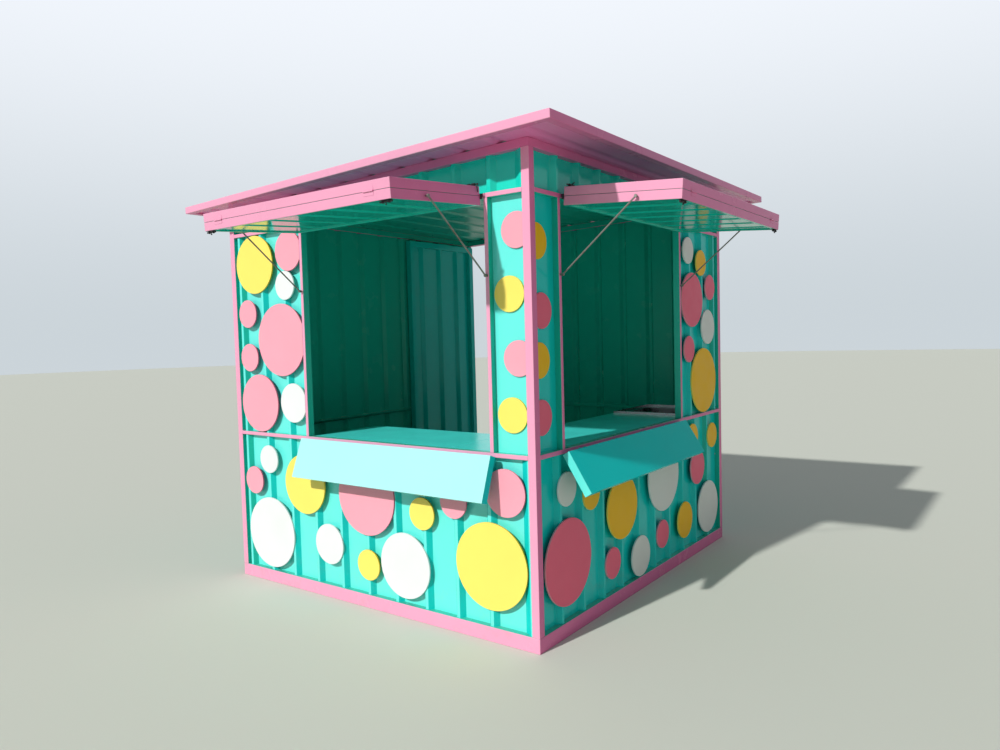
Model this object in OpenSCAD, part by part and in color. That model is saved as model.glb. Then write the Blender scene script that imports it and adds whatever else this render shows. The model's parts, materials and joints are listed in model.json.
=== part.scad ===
/* [Body] */
// Width of the body, left to right
body_w = 2000; // [1800:10:2300]
// Depth of the body, front to back
body_d = 2100; // [1950:10:2400]
// Side of the square frame tube
tube = 38; // [32:1:45]
// Height of the base rails
base_h = 65; // [50:1:90]
// Height of the top of the sill rails
sill_z = 818; // [760:1:860]
// Height of the underside of the header rails
head_z = 1881; // [1840:1:1920]
// Face of the thin rails and jambs
rail_face = 19; // [15:1:25]
// Thickness of the floor board
floor_t = 15; // [9:1:25]
// Distance between the floor joists
joist_pitch = 500; // [400:10:600]

/* [Windows and door] */
// Wall strip from the near corner to each window's jamb
corner_strip = 211; // [180:1:260]
// Clear width of the front serving window
front_window_w = 1167; // [1000:1:1300]
// Clear width of the side serving window
side_window_w = 1245; // [1000:1:1400]
// Width of the door leaf
door_w = 690; // [600:1:800]
// Height of the door leaf
door_h = 1905; // [1800:1:1910]
// Gap round the door leaf
door_gap = 6; // [5:0.5:8]
// Gap under the door leaf
door_sill_gap = 8; // [5:1:15]

/* [Roof] */
// Least gap between the door's head and the wall plates
door_head_gap = 17; // [12:1:60]
// Least height of the header panels
header_h = 95; // [90:1:140]
// Fall of the roof towards the left wall, in degrees
roof_fall = 1.78; // [1:0.01:3]
// Height of the roof's outer frame
fascia_h = 36; // [34:1:50]
// Height of the outer frame's underside above the wall plates' underside
roof_raise = 26; // [20:1:30]
// Roof overhang in front
over_front = 167; // [120:1:240]
// Roof overhang on the right
over_right = 210; // [120:1:260]
// Roof overhang on the left
over_left = 149; // [100:1:240]
// Roof overhang at the back
over_back = 169; // [100:1:240]
// Height of the wall plates, which carry the roof sheet's pans
plate_h = 36; // [34:0.5:38]
// Height of the roof sheet's ribs
roof_rib_h = 8; // [4:1:8]

/* [Cladding] */
// Distance between ribs
rib_pitch = 187; // [170:1:200]
// Width of a rib at its foot
rib_base = 54; // [44:1:60]
// Width of a rib at its crest
rib_crest = 18; // [12:1:24]
// Height of a rib
rib_h = 22; // [12:1:23]
// Thickness of the sheet
sheet_t = 2; // [1:0.5:2]
// Depth of the crests behind the frame's face
crest_depth = 8; // [6:0.5:9]
// First rib of the front wall, from the near corner
front_rib = 249; // [230:1:260]
// First rib of the front header, from the near corner
front_header_rib = 208; // [200:1:220]
// First rib of the side wall, from the near corner
side_rib = 197; // [190:1:210]
// First rib of the side header, from the near corner
side_header_rib = 225; // [215:1:235]
// First rib of the side wall's rear strip, from the near corner
rear_strip_rib = 1640; // [1630:1:1650]
// First rib of the back wall, from the right corner
back_rib = 278; // [260:1:290]
// First rib of the door, from its hinge edge's tube
door_rib = 133; // [100:1:140]
// Width of the front sheets' folded edge beside the corner post
edge_fold = 48; // [36:1:60]

/* [Dots] */
// Diameter of the largest dots
dot_xl = 380; // [350:5:390]
// Diameter of the large dots
dot_l = 310; // [280:5:315]
// Diameter of the middle dots
dot_m = 205; // [190:5:208]
// Diameter of the small dots
dot_s = 150; // [140:5:152]
// Thickness of a dot
dot_t = 8; // [6:0.5:8]

/* [Awnings] */
// Thickness of an awning leaf
leaf_t = 38; // [34:1:42]
// Gap at each end and edge of a leaf
leaf_gap = 4; // [3:0.5:6]
// Gap between the two folded leaves
fold_gap = 1; // [1:0.5:3]
// Slope of the open awnings, in degrees
awning_slope = 4.2; // [2:0.1:6]
// Length of an awning hinge
awning_hinge_l = 52; // [40:1:80]
// Radius of an awning hinge's barrel
awning_barrel_r = 3; // [3:0.5:4]
// Distance of the outer hinges from the ends of an awning
awning_hinge_inset = 110; // [80:5:160]
// Diameter of a stay
stay_d = 7; // [6:1:8]
// Distance of a stay's upper pin from the wall
stay_reach = 350; // [300:10:420]
// Drop of a stay's lower pin below the header rail
stay_drop = 321; // [260:1:380]
// Length of a barrel bolt
bolt_l = 50; // [40:1:70]

/* [Serving flaps] */
// Length of a flap, from its hinge to its edge
flap_l = 200; // [150:1:240]
// Width of the front flap
front_flap_w = 1209; // [1000:1:1300]
// Width of the side flap
side_flap_w = 1253; // [1000:1:1400]
// Lap of the flaps past the near end of their windows
flap_lap = 31; // [10:1:60]
// Thickness of a flap
flap_t = 36; // [25:1:36]
// Angle of the hanging front flap from the vertical
front_flap_hang = 20; // [15:1:35]
// Angle of the hanging side flap from the vertical
side_flap_hang = 32; // [15:1:35]
// Distance of a flap's hinge axis from the wall's face
flap_proud = 5.5; // [5.5:0.5:7]
// Drop of the front flap's hinge axis below the sill
front_flap_drop = 16; // [14:1:30]
// Drop of the side flap's hinge axis below the sill
side_flap_drop = 22; // [14:1:30]
// Radius of a flap hinge's barrel
flap_barrel_r = 5; // [4:0.5:5]
// Length of a flap hinge
flap_hinge_l = 64; // [50:1:90]
// Distance of the outer hinges from the ends of a flap
flap_hinge_inset = 170; // [120:5:220]

/* [Counters and sink] */
// Depth of the counters
counter_depth = 450; // [380:5:500]
// Thickness of the counters
counter_t = 28; // [20:1:40]
// Length of the sink's top along the side wall
sink_l = 467; // [400:1:500]
// Height of the sink's raised rim
sink_rim_h = 12; // [6:1:20]
// Width of the sink's raised rim
sink_rim_w = 12; // [8:1:20]
// Length of the bowl along the side wall
bowl_l = 300; // [240:5:320]
// Width of the bowl
bowl_w = 340; // [260:5:360]
// Depth of the bowl
bowl_depth = 150; // [100:5:200]
// Corner radius of the bowl
bowl_r = 45; // [20:5:60]
// Thickness of the sink's metal
sink_t = 2; // [1.5:0.5:3]
// Radius of the sink's waste
waste_r = 30; // [20:1:40]

/* [Hinges] */
// Length of a door hinge
door_hinge_l = 80; // [60:1:110]
// Radius of a door hinge's barrel
door_barrel_r = 6; // [5:0.5:7]
// Radius of the hinge pins
pin_r = 2.5; // [2:0.1:2.5]
// Clearance between a pin and its barrel
pin_gap = 0.2; // [0.2:0.1:0.3]
// Gap between the knuckles of a hinge
knuckle_gap = 1; // [0.5:0.5:2]
// Thickness of the hinge plates
plate_t = 2; // [1.5:0.5:2]
// Distance of the outer door hinges from the leaf's ends
door_hinge_inset = 180; // [120:10:300]

/* [Hidden] */
$fn = 48;
teal = [0.10, 0.68, 0.60];
pink = [0.86, 0.36, 0.55];
steel = [0.75, 0.76, 0.78];
eps = 0.01;

// Walls are drawn with x along the wall from its reference corner, y inwards from its face
front_l = body_w;
side_l = body_d;
rail_top_z = head_z + rail_face;
front_window = [corner_strip + rail_face, corner_strip + rail_face + front_window_w];
side_window = [corner_strip + rail_face, corner_strip + rail_face + side_window_w];
pan_depth = crest_depth + rib_h;
door_z = base_h + door_sill_gap;
roof_low_z = max(door_z + door_h + door_head_gap, rail_top_z + header_h);
tall = roof_low_z + body_w * tan(roof_fall) + tube;

// The door hangs on the back left post, and its jamb stands beyond the free edge
door_axis_x = -body_w / 2 + tube + door_gap / 2;
door_axis_y = body_d / 2 - tube - door_barrel_r;
door_stop_gap = 1;
door_jamb_x = -body_w / 2 + tube + 2 * door_gap + door_w + door_stop_gap;
door_open = 90;

axis_rise = 3;
awning_axis_z = head_z + leaf_gap + axis_rise;
awning_proud = 6;
awning_start = awning_axis_z - head_z + leaf_gap;
leaf_l = (head_z - sill_z - 3 * leaf_gap) / 2;
awning_end = awning_start + leaf_l;
stay_eye_r = 6.5;
stay_eye_w = 9;
stay_pin_r = 3;
stay_foot = 12;

// Dots of the lower panels and the corner strips, as [distance from the near corner, height, diameter]
front_pink = [[1869, 549, dot_s], [995, 549, dot_xl], [444, 584, dot_s], [159, 652, dot_m]];
front_yellow = [[1446, 565, dot_l], [991, 213, dot_s], [633, 508, dot_s], [244, 328, dot_xl]];
front_white = [[1735, 674, dot_s], [1736, 274, dot_xl], [1271, 276, dot_m], [748, 249, dot_l]];
front_strip_pink = [[85, 1738, dot_s], [87, 1214, dot_s]];
front_strip_yellow = [[127, 1480, dot_s], [125, 978, dot_s]];
side_pink = [[244, 324, dot_xl], [645, 213, dot_s], [1210, 224, dot_s], [1707, 510, dot_m]];
side_yellow = [[451, 585, dot_s], [752, 462, dot_l], [1513, 235, dot_m], [1943, 668, dot_s],
    [1641, 694, dot_s]];
side_white = [[240, 643, dot_s], [1235, 537, dot_xl], [944, 173, dot_m], [1867, 243, dot_l]];
side_strip_pink = [[105, 1408, dot_s], [90, 965, dot_s]];
side_strip_yellow = [[78, 1692, dot_s], [83, 1203, dot_s]];

// Dots of the strips beyond the windows, as [distance from the wall's far end, height, diameter]
front_far_pink = [[492, 1774, dot_m], [132, 1462, dot_s], [410, 1316, dot_xl], [134, 1224, dot_s],
    [209, 977, dot_l]];
front_far_yellow = [[207, 1723, dot_l]];
front_far_white = [[456, 1599, dot_s], [491, 986, dot_m]];
side_far_pink = [[445, 1485, dot_l], [168, 1565, dot_s], [496, 1203, dot_s]];
side_far_yellow = [[306, 1704, dot_s], [281, 1012, dot_xl]];
side_far_white = [[496, 1763, dot_s], [207, 1328, dot_m]];
dot_trim = 0.5;

// Places for each wall: the front and side walls start at the near corner
module on_front() translate([body_w / 2, -body_d / 2, 0]) mirror([1, 0, 0]) children();
module on_side() translate([body_w / 2, -body_d / 2, 0]) rotate(90) children();
module on_back() translate([body_w / 2, body_d / 2, 0]) rotate(180) children();
module on_left() translate([-body_w / 2, -body_d / 2, 0]) rotate(90) mirror([0, 1, 0]) children();

// The roof's own frame: x up the fall from the left wall's face, z from the frame's underside
module on_roof() translate([-body_w / 2, 0, roof_low_z]) rotate([0, -roof_fall, 0]) children();
module under_roof() {
    intersection() {
        children();
        on_roof() translate([-body_w, -body_d, -2 * tall]) cube([3 * body_w, 2 * body_d, 2 * tall]);
    }
}

// Ribbed sheet from a to b, drawn across its ribs and pushed along them, with a folded edge at a if asked
fold_flat = 10;
function rib_centres(a, b, start) = [for (k = [floor((a - start) / rib_pitch):ceil((b - start) / rib_pitch)])
    let (c = start + k * rib_pitch) if (c - rib_base / 2 > a && c + rib_base / 2 < b) c];
function first_edge(a, fold, crest, pan) = fold > 0
    ? [[a, crest], [a + fold_flat, crest], [a + fold, pan]]
    : [[a, pan]];
function rib_line(a, b, centres, crest, pan, fold) = concat(first_edge(a, fold, crest, pan),
    [for (c = centres) each [[c - rib_base / 2, pan], [c - rib_crest / 2, crest],
        [c + rib_crest / 2, crest], [c + rib_base / 2, pan]]],
    [[b, pan]]);
function sheet_outline(line) = concat(line, [for (i = [len(line) - 1:-1:0]) line[i] + [0, sheet_t]]);
module ribbed(a, b, start, l, crest = crest_depth, h = rib_h, fold = 0) {
    centres = rib_centres(a + fold, b, start);
    linear_extrude(l) polygon(sheet_outline(rib_line(a, b, centres, crest, crest + h, fold)));
}
module wall_sheet(a, b, z0, z1, start, fold = 0)
    translate([0, 0, z0]) ribbed(a, b, start, z1 - z0, fold = fold);
module plain_sheet(a, b, z0, z1) translate([a, pan_depth, z0]) cube([b - a, sheet_t, z1 - z0]);

// A ring of tube, lying flat
module ring(l, w, h, face) {
    difference() {
        cube([l, w, h]);
        translate([face, face, -1]) cube([l - 2 * face, w - 2 * face, h + 2]);
    }
}

module base_frame() color(pink) {
    translate([-body_w / 2, -body_d / 2, 0]) ring(body_w, body_d, base_h, tube);
    for (x = [-joist_pitch, 0, joist_pitch])
        translate([x - tube / 2, -body_d / 2 + tube, 0]) cube([tube, body_d - 2 * tube, base_h - floor_t]);
}
module floor_board() color(teal) {
    translate([-body_w / 2 + tube, -body_d / 2 + tube, base_h - floor_t])
        cube([body_w - 2 * tube, body_d - 2 * tube, floor_t]);
}

module post(x, y) color(pink) under_roof() translate([x, y, base_h]) cube([tube, tube, tall]);
module front_left_post() post(-body_w / 2, -body_d / 2);
module front_right_post() post(body_w / 2 - tube, -body_d / 2);
module back_left_post() post(-body_w / 2, body_d / 2 - tube);
module back_right_post() post(body_w / 2 - tube, body_d / 2 - tube);

// Thin rails between the posts
module rail(a, b, z) translate([a, 0, z]) cube([b - a, tube, rail_face]);
module sill_rails() color(pink) {
    z = sill_z - rail_face;
    on_front() rail(tube, front_l - tube, z);
    on_side() rail(tube, side_l - tube, z);
    on_left() rail(tube, side_l - tube, z);
    on_back() rail(tube, body_w / 2 - door_jamb_x - rail_face, z);
}
module header_rails() color(pink) {
    on_front() rail(tube, front_l - tube, head_z);
    on_side() rail(tube, side_l - tube, head_z);
}
module jamb(a) translate([a, 0, sill_z]) cube([rail_face, tube, head_z - sill_z]);
module window_jambs() color(pink) {
    on_front() for (a = [corner_strip, front_window[1]]) jamb(a);
    on_side() for (a = [corner_strip, side_window[1]]) jamb(a);
}
module door_jamb() color(pink) under_roof() translate([door_jamb_x, body_d / 2 - tube, base_h])
    cube([rail_face, tube, tall]);

module front_lower_sheet() color(teal) on_front()
    wall_sheet(tube, front_l - tube, base_h, sill_z - rail_face, front_rib, edge_fold);
module front_left_sheet() color(teal) on_front()
    wall_sheet(front_window[1] + rail_face, front_l - tube, sill_z, head_z, front_rib);
module front_corner_sheet() color(teal) on_front() plain_sheet(tube, corner_strip, sill_z, head_z);
module front_header_sheet() color(teal) under_roof() on_front()
    wall_sheet(tube, front_l - tube, rail_top_z, tall, front_header_rib, edge_fold);
module side_lower_sheet() color(teal) on_side()
    wall_sheet(tube, side_l - tube, base_h, sill_z - rail_face, side_rib);
module side_corner_sheet() color(teal) on_side() plain_sheet(tube, corner_strip, sill_z, head_z);
module side_rear_sheet() color(teal) on_side()
    wall_sheet(side_window[1] + rail_face, side_l - tube, sill_z, head_z, rear_strip_rib);
module side_header_sheet() color(teal) under_roof() on_side()
    wall_sheet(tube, side_l - tube, rail_top_z, tall, side_header_rib);
module back_lower_sheet() color(teal) on_back()
    wall_sheet(tube, body_w / 2 - door_jamb_x - rail_face, base_h, sill_z - rail_face, back_rib);
module back_upper_sheet() color(teal) under_roof() on_back()
    wall_sheet(tube, body_w / 2 - door_jamb_x - rail_face, sill_z, tall, back_rib);
module left_lower_sheet() color(teal) on_left()
    wall_sheet(tube, side_l - tube, base_h, sill_z - rail_face, side_rib);
module left_upper_sheet() color(teal) under_roof() on_left()
    wall_sheet(tube, side_l - tube, sill_z, tall, side_rib);

// The roof: plates on the walls, a raised ring of tube outside, and one ribbed sheet that joins them
roof_u0 = -over_left;
roof_u1 = (body_w + over_right) / cos(roof_fall);
plate_u1 = body_w / cos(roof_fall);
roof_top = roof_raise + fascia_h;
module roof_frame() color(pink) on_roof() {
    translate([roof_u0, -body_d / 2 - over_front, roof_raise])
        ring(roof_u1 - roof_u0, body_d + over_front + over_back, fascia_h, tube);
    translate([0, -body_d / 2, 0]) ring(plate_u1, body_d, plate_h, tube);
}
module roof_sheet() color(pink) on_roof() {
    front_y = -body_d / 2 - over_front + tube;
    back_y = body_d / 2 + over_back - tube;
    crest = roof_top - plate_h - sheet_t - roof_rib_h;
    translate([0, back_y, roof_top]) rotate([90, 0, 0]) mirror([0, 1, 0])
        ribbed(roof_u0 + tube, roof_u1 - tube, rib_pitch, back_y - front_y, crest, roof_rib_h);
}

// The rear door, drawn shut with its hinge axis at the origin, then swung open into the room
module at_door() translate([door_axis_x, door_axis_y, 0]) rotate(-door_open) children();
leaf_x = door_gap / 2;
leaf_y = door_barrel_r;
door_hinge_zs = [door_z + door_hinge_inset, door_z + door_h / 2, door_z + door_h - door_hinge_inset];
knuckle_l = (door_hinge_l - 2 * knuckle_gap) / 3;
post_land = tube - pan_depth - sheet_t - dot_trim;
module door_frame() color(pink) at_door() {
    difference() {
        union() {
            translate([leaf_x, leaf_y + tube, door_z]) rotate([90, 0, 0]) ring(door_w, door_h, tube, tube);
            for (z = door_hinge_zs) translate([0, 0, z - knuckle_l / 2]) {
                cylinder(r = door_barrel_r - eps, h = knuckle_l);
                translate([0, leaf_y - plate_t, 0]) cube([leaf_x + tube / 2, plate_t, knuckle_l]);
            }
        }
        for (z = door_hinge_zs) translate([0, 0, z - door_hinge_l / 2])
            cylinder(r = pin_r + pin_gap, h = door_hinge_l);
    }
}
module door_sheet() color(teal) at_door() {
    translate([leaf_x + tube, leaf_y + tube, door_z + tube]) mirror([0, 1, 0])
        ribbed(0, door_w - 2 * tube, door_rib, door_h - 2 * tube);
}
module door_hinges() color(steel) translate([door_axis_x, door_axis_y, 0]) {
    for (z = door_hinge_zs) translate([0, 0, z - door_hinge_l / 2]) {
        cylinder(r = pin_r, h = door_hinge_l);
        for (k = [0, 2]) translate([0, 0, k * (knuckle_l + knuckle_gap)]) {
            cylinder(r = door_barrel_r - eps, h = knuckle_l);
            translate([-door_gap / 2 - post_land, door_barrel_r - plate_t, 0])
                cube([post_land + door_gap / 2, plate_t, knuckle_l]);
        }
    }
}

// Counters inside the two serving windows, and the sink beyond the side one
counter_z = sill_z - counter_t;
side_counter_end = body_d - tube - sink_l;
module front_counter() color(teal) on_front()
    translate([tube + counter_depth, tube, counter_z])
        cube([front_window[1] - tube - counter_depth, counter_depth, counter_t]);
module side_counter() color(teal) on_side()
    translate([tube, tube, counter_z]) cube([side_counter_end - tube, counter_depth, counter_t]);
module rounded_plate(l, w, r, h) {
    linear_extrude(h) union() {
        translate([r, 0]) square([l - 2 * r, w]);
        translate([0, r]) square([l, w - 2 * r]);
        for (x = [r, l - r], y = [r, w - r]) translate([x, y]) circle(r);
    }
}
waste_rim = 4;
waste_sunk = 1;
module sink() color(steel) on_side() {
    x0 = side_counter_end + (sink_l - bowl_l) / 2;
    y0 = tube + (counter_depth - bowl_w) / 2;
    outer_l = bowl_l + 2 * sink_t;
    outer_w = bowl_w + 2 * sink_t;
    difference() {
        union() {
            translate([side_counter_end, tube, sill_z - sink_t]) cube([sink_l, counter_depth, sink_t]);
            translate([side_counter_end, tube, sill_z]) ring(sink_l, counter_depth, sink_rim_h, sink_rim_w);
            translate([side_counter_end, tube + counter_depth - sink_t, counter_z])
                cube([sink_l, sink_t, counter_t]);
            translate([x0 - sink_t, y0 - sink_t, sill_z - bowl_depth - sink_t])
                rounded_plate(outer_l, outer_w, bowl_r + sink_t, bowl_depth + sink_t);
        }
        translate([x0, y0, sill_z - bowl_depth]) rounded_plate(bowl_l, bowl_w, bowl_r, bowl_depth + 1);
    }
    translate([x0 + bowl_l / 2, y0 + bowl_w / 2, sill_z - bowl_depth - sink_t]) difference() {
        cylinder(r = waste_r, h = 2 * sink_t);
        translate([0, 0, 2 * sink_t - waste_sunk]) cylinder(r = waste_r - waste_rim, h = 2 * sink_t);
    }
}

// Awnings: two folded leaves on each window, y running back to the wall, hinge axis on x
module at_awning(window) translate([window[0] + leaf_gap, -awning_proud, awning_axis_z])
    rotate([awning_slope, 0, 0]) children();
module both_leaves() for (flip = [0, 1]) mirror([0, 0, flip]) children();
function leaf_w(window) = window[1] - window[0] - 2 * leaf_gap;
module awning_frames(window) at_awning(window) both_leaves()
    translate([0, -awning_end, fold_gap / 2]) ring(leaf_w(window), leaf_l, leaf_t, rail_face);
module awning_sheets(window) at_awning(window) both_leaves()
    translate([0, -awning_start - rail_face, fold_gap / 2]) rotate([90, 0, 0])
        ribbed(rail_face, leaf_w(window) - rail_face, rib_pitch, leaf_l - 2 * rail_face);
module front_awning_frames() color(pink) on_front() awning_frames(front_window);
module front_awning_sheets() color(teal) on_front() awning_sheets(front_window);
module side_awning_frames() color(pink) on_side() awning_frames(side_window);
module side_awning_sheets() color(teal) on_side() awning_sheets(side_window);

// Butt hinges: two where the leaves fold, three on the header rail
awning_plate = 16;
fold_plate_t = 1;
function ends(w, inset) = [inset, w - inset];
function three(w, inset) = [inset, w / 2, w - inset];
module barrel(l, r, count = 5) {
    piece = (l - (count - 1) * knuckle_gap) / count;
    for (k = [0:count - 1]) translate([k * (piece + knuckle_gap), 0, 0])
        rotate([0, 90, 0]) cylinder(r = r, h = piece);
    rotate([0, 90, 0]) cylinder(r = pin_r, h = l);
}
module fold_hinge() {
    translate([-awning_hinge_l / 2, -awning_barrel_r - eps, 0]) barrel(awning_hinge_l, awning_barrel_r);
    for (z = [fold_gap / 2, -fold_gap / 2 - awning_plate])
        translate([-awning_hinge_l / 2, -fold_plate_t, z])
            cube([awning_hinge_l, fold_plate_t, awning_plate]);
}
module hinges_of(window) {
    w = leaf_w(window);
    at_awning(window) {
        for (x = ends(w, awning_hinge_inset)) translate([x, -awning_end, 0]) fold_hinge();
        for (x = three(w, awning_hinge_inset)) translate([x - awning_hinge_l / 2, 0, 0]) {
            barrel(awning_hinge_l, awning_barrel_r);
            translate([0, -awning_start, -awning_plate]) cube([awning_hinge_l, awning_start, plate_t]);
            translate([0, -plate_t / 2, -awning_plate]) cube([awning_hinge_l, plate_t, awning_plate]);
        }
    }
    for (x = three(w, awning_hinge_inset))
        translate([window[0] + leaf_gap + x - awning_hinge_l / 2, -awning_proud, awning_axis_z])
            cube([awning_hinge_l, awning_proud, plate_t]);
}
module awning_hinges() color(pink) {
    on_front() hinges_of(front_window);
    on_side() hinges_of(side_window);
}

// Stays: a rod from a pin on the leaf's end down to a lug on the jamb
stay_top_v = -fold_gap / 2 - leaf_t / 2;
stay_top = [-awning_proud - stay_reach * cos(awning_slope) - stay_top_v * sin(awning_slope),
    awning_axis_z - stay_reach * sin(awning_slope) + stay_top_v * cos(awning_slope)];
stay_low = [-stay_foot, head_z - stay_drop];
stay_run = stay_top - stay_low;
stay_l = norm(stay_run);
module stay(x, leaf_x_end) {
    translate([x, stay_low[0], stay_low[1]]) rotate([90 - atan2(stay_run[1], -stay_run[0]), 0, 0])
        cylinder(d = stay_d, h = stay_l);
    for (p = [stay_top, stay_low]) translate([x - stay_eye_w / 2, p[0], p[1]])
        rotate([0, 90, 0]) cylinder(r = stay_eye_r, h = stay_eye_w);
    translate([min(x, leaf_x_end), stay_top[0], stay_top[1]])
        rotate([0, 90, 0]) cylinder(r = stay_pin_r, h = abs(leaf_x_end - x));
    translate([x - stay_eye_w / 2, -stay_foot, stay_low[1] - stay_eye_w / 2])
        cube([stay_eye_w, stay_foot, stay_eye_w]);
}
module stays_of(window) {
    stay(window[0] - rail_face / 2, window[0] + leaf_gap);
    stay(window[1] + rail_face / 2, window[1] - leaf_gap);
}
module awning_stays() color(steel) {
    on_front() stays_of(front_window);
    on_side() stays_of(side_window);
}

// Barrel bolts under the outer corners of the lower leaf
bolt_r = 6;
bolt_rod_r = 3.5;
bolt_w = 3 * bolt_r;
module bolt() {
    cube([bolt_l, bolt_w, plate_t]);
    translate([-bolt_r, bolt_w / 2, plate_t / 2 - bolt_r]) rotate([0, 90, 0])
        cylinder(r = bolt_rod_r, h = bolt_l + 2 * bolt_r);
    for (x = [bolt_r, bolt_l - 2 * bolt_r]) translate([x, bolt_w / 2, plate_t / 2 - bolt_r])
        rotate([0, 90, 0]) cylinder(r = bolt_r, h = bolt_r);
}
module bolts_of(window) at_awning(window) {
    for (x = [rail_face / 2, leaf_w(window) - rail_face / 2 - bolt_l])
        translate([x, -awning_end + rail_face - bolt_w, -fold_gap / 2 - leaf_t - plate_t]) bolt();
}
module awning_bolts() color([0.1, 0.1, 0.12]) {
    on_front() bolts_of(front_window);
    on_side() bolts_of(side_window);
}

// Serving flaps: boards drawn raised, y running back to the wall, then let down on their hinges
flap_knuckle = (flap_hinge_l - 2 * knuckle_gap) / 3;
flap_leaf_top = sill_z - 11;
function hinge_xs(w) = [for (k = [0:3]) flap_hinge_inset + k * (w - 2 * flap_hinge_inset) / 3];
module at_flap_axis(window, drop) translate([window[0] - flap_lap, -flap_proud, sill_z - drop]) children();
module flap(window, w, hang, drop) at_flap_axis(window, drop) rotate([90 - hang, 0, 0]) difference() {
    union() {
        difference() {
            translate([0, -flap_l, 0]) cube([w, flap_l, flap_t]);
            for (x = hinge_xs(w)) translate([x - flap_hinge_l / 2 - knuckle_gap, 0, 0]) rotate([0, 90, 0])
                cylinder(r = flap_barrel_r + knuckle_gap, h = flap_hinge_l + 2 * knuckle_gap);
        }
        for (x = hinge_xs(w)) translate([x - flap_knuckle / 2, 0, 0]) {
            rotate([0, 90, 0]) cylinder(r = flap_barrel_r, h = flap_knuckle);
            translate([0, -2 * flap_barrel_r, 0]) cube([flap_knuckle, 2 * flap_barrel_r, flap_barrel_r]);
        }
    }
    for (x = hinge_xs(w)) translate([x - flap_hinge_l / 2, 0, 0]) rotate([0, 90, 0])
        cylinder(r = pin_r + pin_gap, h = flap_hinge_l);
}
module front_flap() color(teal) on_front()
    flap(front_window, front_flap_w, front_flap_hang, front_flap_drop);
module side_flap() color(teal) on_side()
    flap(side_window, side_flap_w, side_flap_hang, side_flap_drop);
module flap_hinges_of(window, w, drop) at_flap_axis(window, drop) {
    leaf_z0 = min(0, drop - rail_face);
    leaf_h = flap_leaf_top - (sill_z - drop) - leaf_z0;
    for (x = hinge_xs(w)) translate([x - flap_hinge_l / 2, 0, 0]) {
        rotate([0, 90, 0]) cylinder(r = pin_r, h = flap_hinge_l);
        for (k = [0, 2]) translate([k * (flap_knuckle + knuckle_gap), 0, 0]) {
            rotate([0, 90, 0]) cylinder(r = flap_barrel_r, h = flap_knuckle);
            translate([0, flap_proud - plate_t, leaf_z0]) cube([flap_knuckle, plate_t, leaf_h]);
        }
    }
}
module flap_hinges() color(steel) {
    on_front() flap_hinges_of(front_window, front_flap_w, front_flap_drop);
    on_side() flap_hinges_of(side_window, side_flap_w, side_flap_drop);
}

// Dots: discs on the ribs' crests, and on the flat pans of the corner strips, trimmed by the frame
module dots(list, back) {
    for (d = list) translate([d[0], back, d[1]]) rotate([90, 0, 0]) cylinder(d = d[2], h = dot_t, $fn = 96);
}
module panel_space(a, b, z0, z1) translate([a + dot_trim, -tube, z0 + dot_trim])
    cube([b - a - 2 * dot_trim, 2 * tube, z1 - z0 - 2 * dot_trim]);
function from_far(list, l) = [for (d = list) [l - d[0], d[1], d[2]]];
module strip_dots(list) {
    intersection() {
        dots(list, pan_depth);
        panel_space(tube, corner_strip, sill_z, head_z);
    }
}
module wall_dots(near, far, strip, window, l) {
    intersection() {
        dots(concat(near, from_far(far, l)), crest_depth);
        union() {
            panel_space(tube, l - tube, base_h, sill_z - rail_face);
            panel_space(window[1] + rail_face, l - tube, sill_z, head_z);
        }
    }
    if (len(strip) > 0) strip_dots(strip);
}
module pink_dots() color([0.93, 0.42, 0.52]) {
    on_front() wall_dots(front_pink, front_far_pink, front_strip_pink, front_window, front_l);
    on_side() wall_dots(side_pink, side_far_pink, side_strip_pink, side_window, side_l);
}
module yellow_dots() color([0.97, 0.78, 0.15]) {
    on_front() wall_dots(front_yellow, front_far_yellow, front_strip_yellow, front_window, front_l);
    on_side() wall_dots(side_yellow, side_far_yellow, side_strip_yellow, side_window, side_l);
}
module white_dots() color("white") {
    on_front() wall_dots(front_white, front_far_white, [], front_window, front_l);
    on_side() wall_dots(side_white, side_far_white, [], side_window, side_l);
}

base_frame();
floor_board();
front_left_post();
front_right_post();
back_left_post();
back_right_post();
sill_rails();
header_rails();
window_jambs();
door_jamb();
front_lower_sheet();
front_left_sheet();
front_corner_sheet();
front_header_sheet();
side_lower_sheet();
side_corner_sheet();
side_rear_sheet();
side_header_sheet();
back_lower_sheet();
back_upper_sheet();
left_lower_sheet();
left_upper_sheet();
roof_frame();
roof_sheet();
door_frame();
door_sheet();
door_hinges();
front_counter();
side_counter();
sink();
front_awning_frames();
front_awning_sheets();
side_awning_frames();
side_awning_sheets();
awning_hinges();
awning_stays();
awning_bolts();
front_flap();
side_flap();
flap_hinges();
pink_dots();
yellow_dots();
white_dots();
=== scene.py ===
"""A street kiosk: enamelled tube frame and ribbed sheets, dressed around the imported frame."""
import json
import math
import random

import bmesh
import bpy
from mathutils import Matrix, Vector

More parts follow.
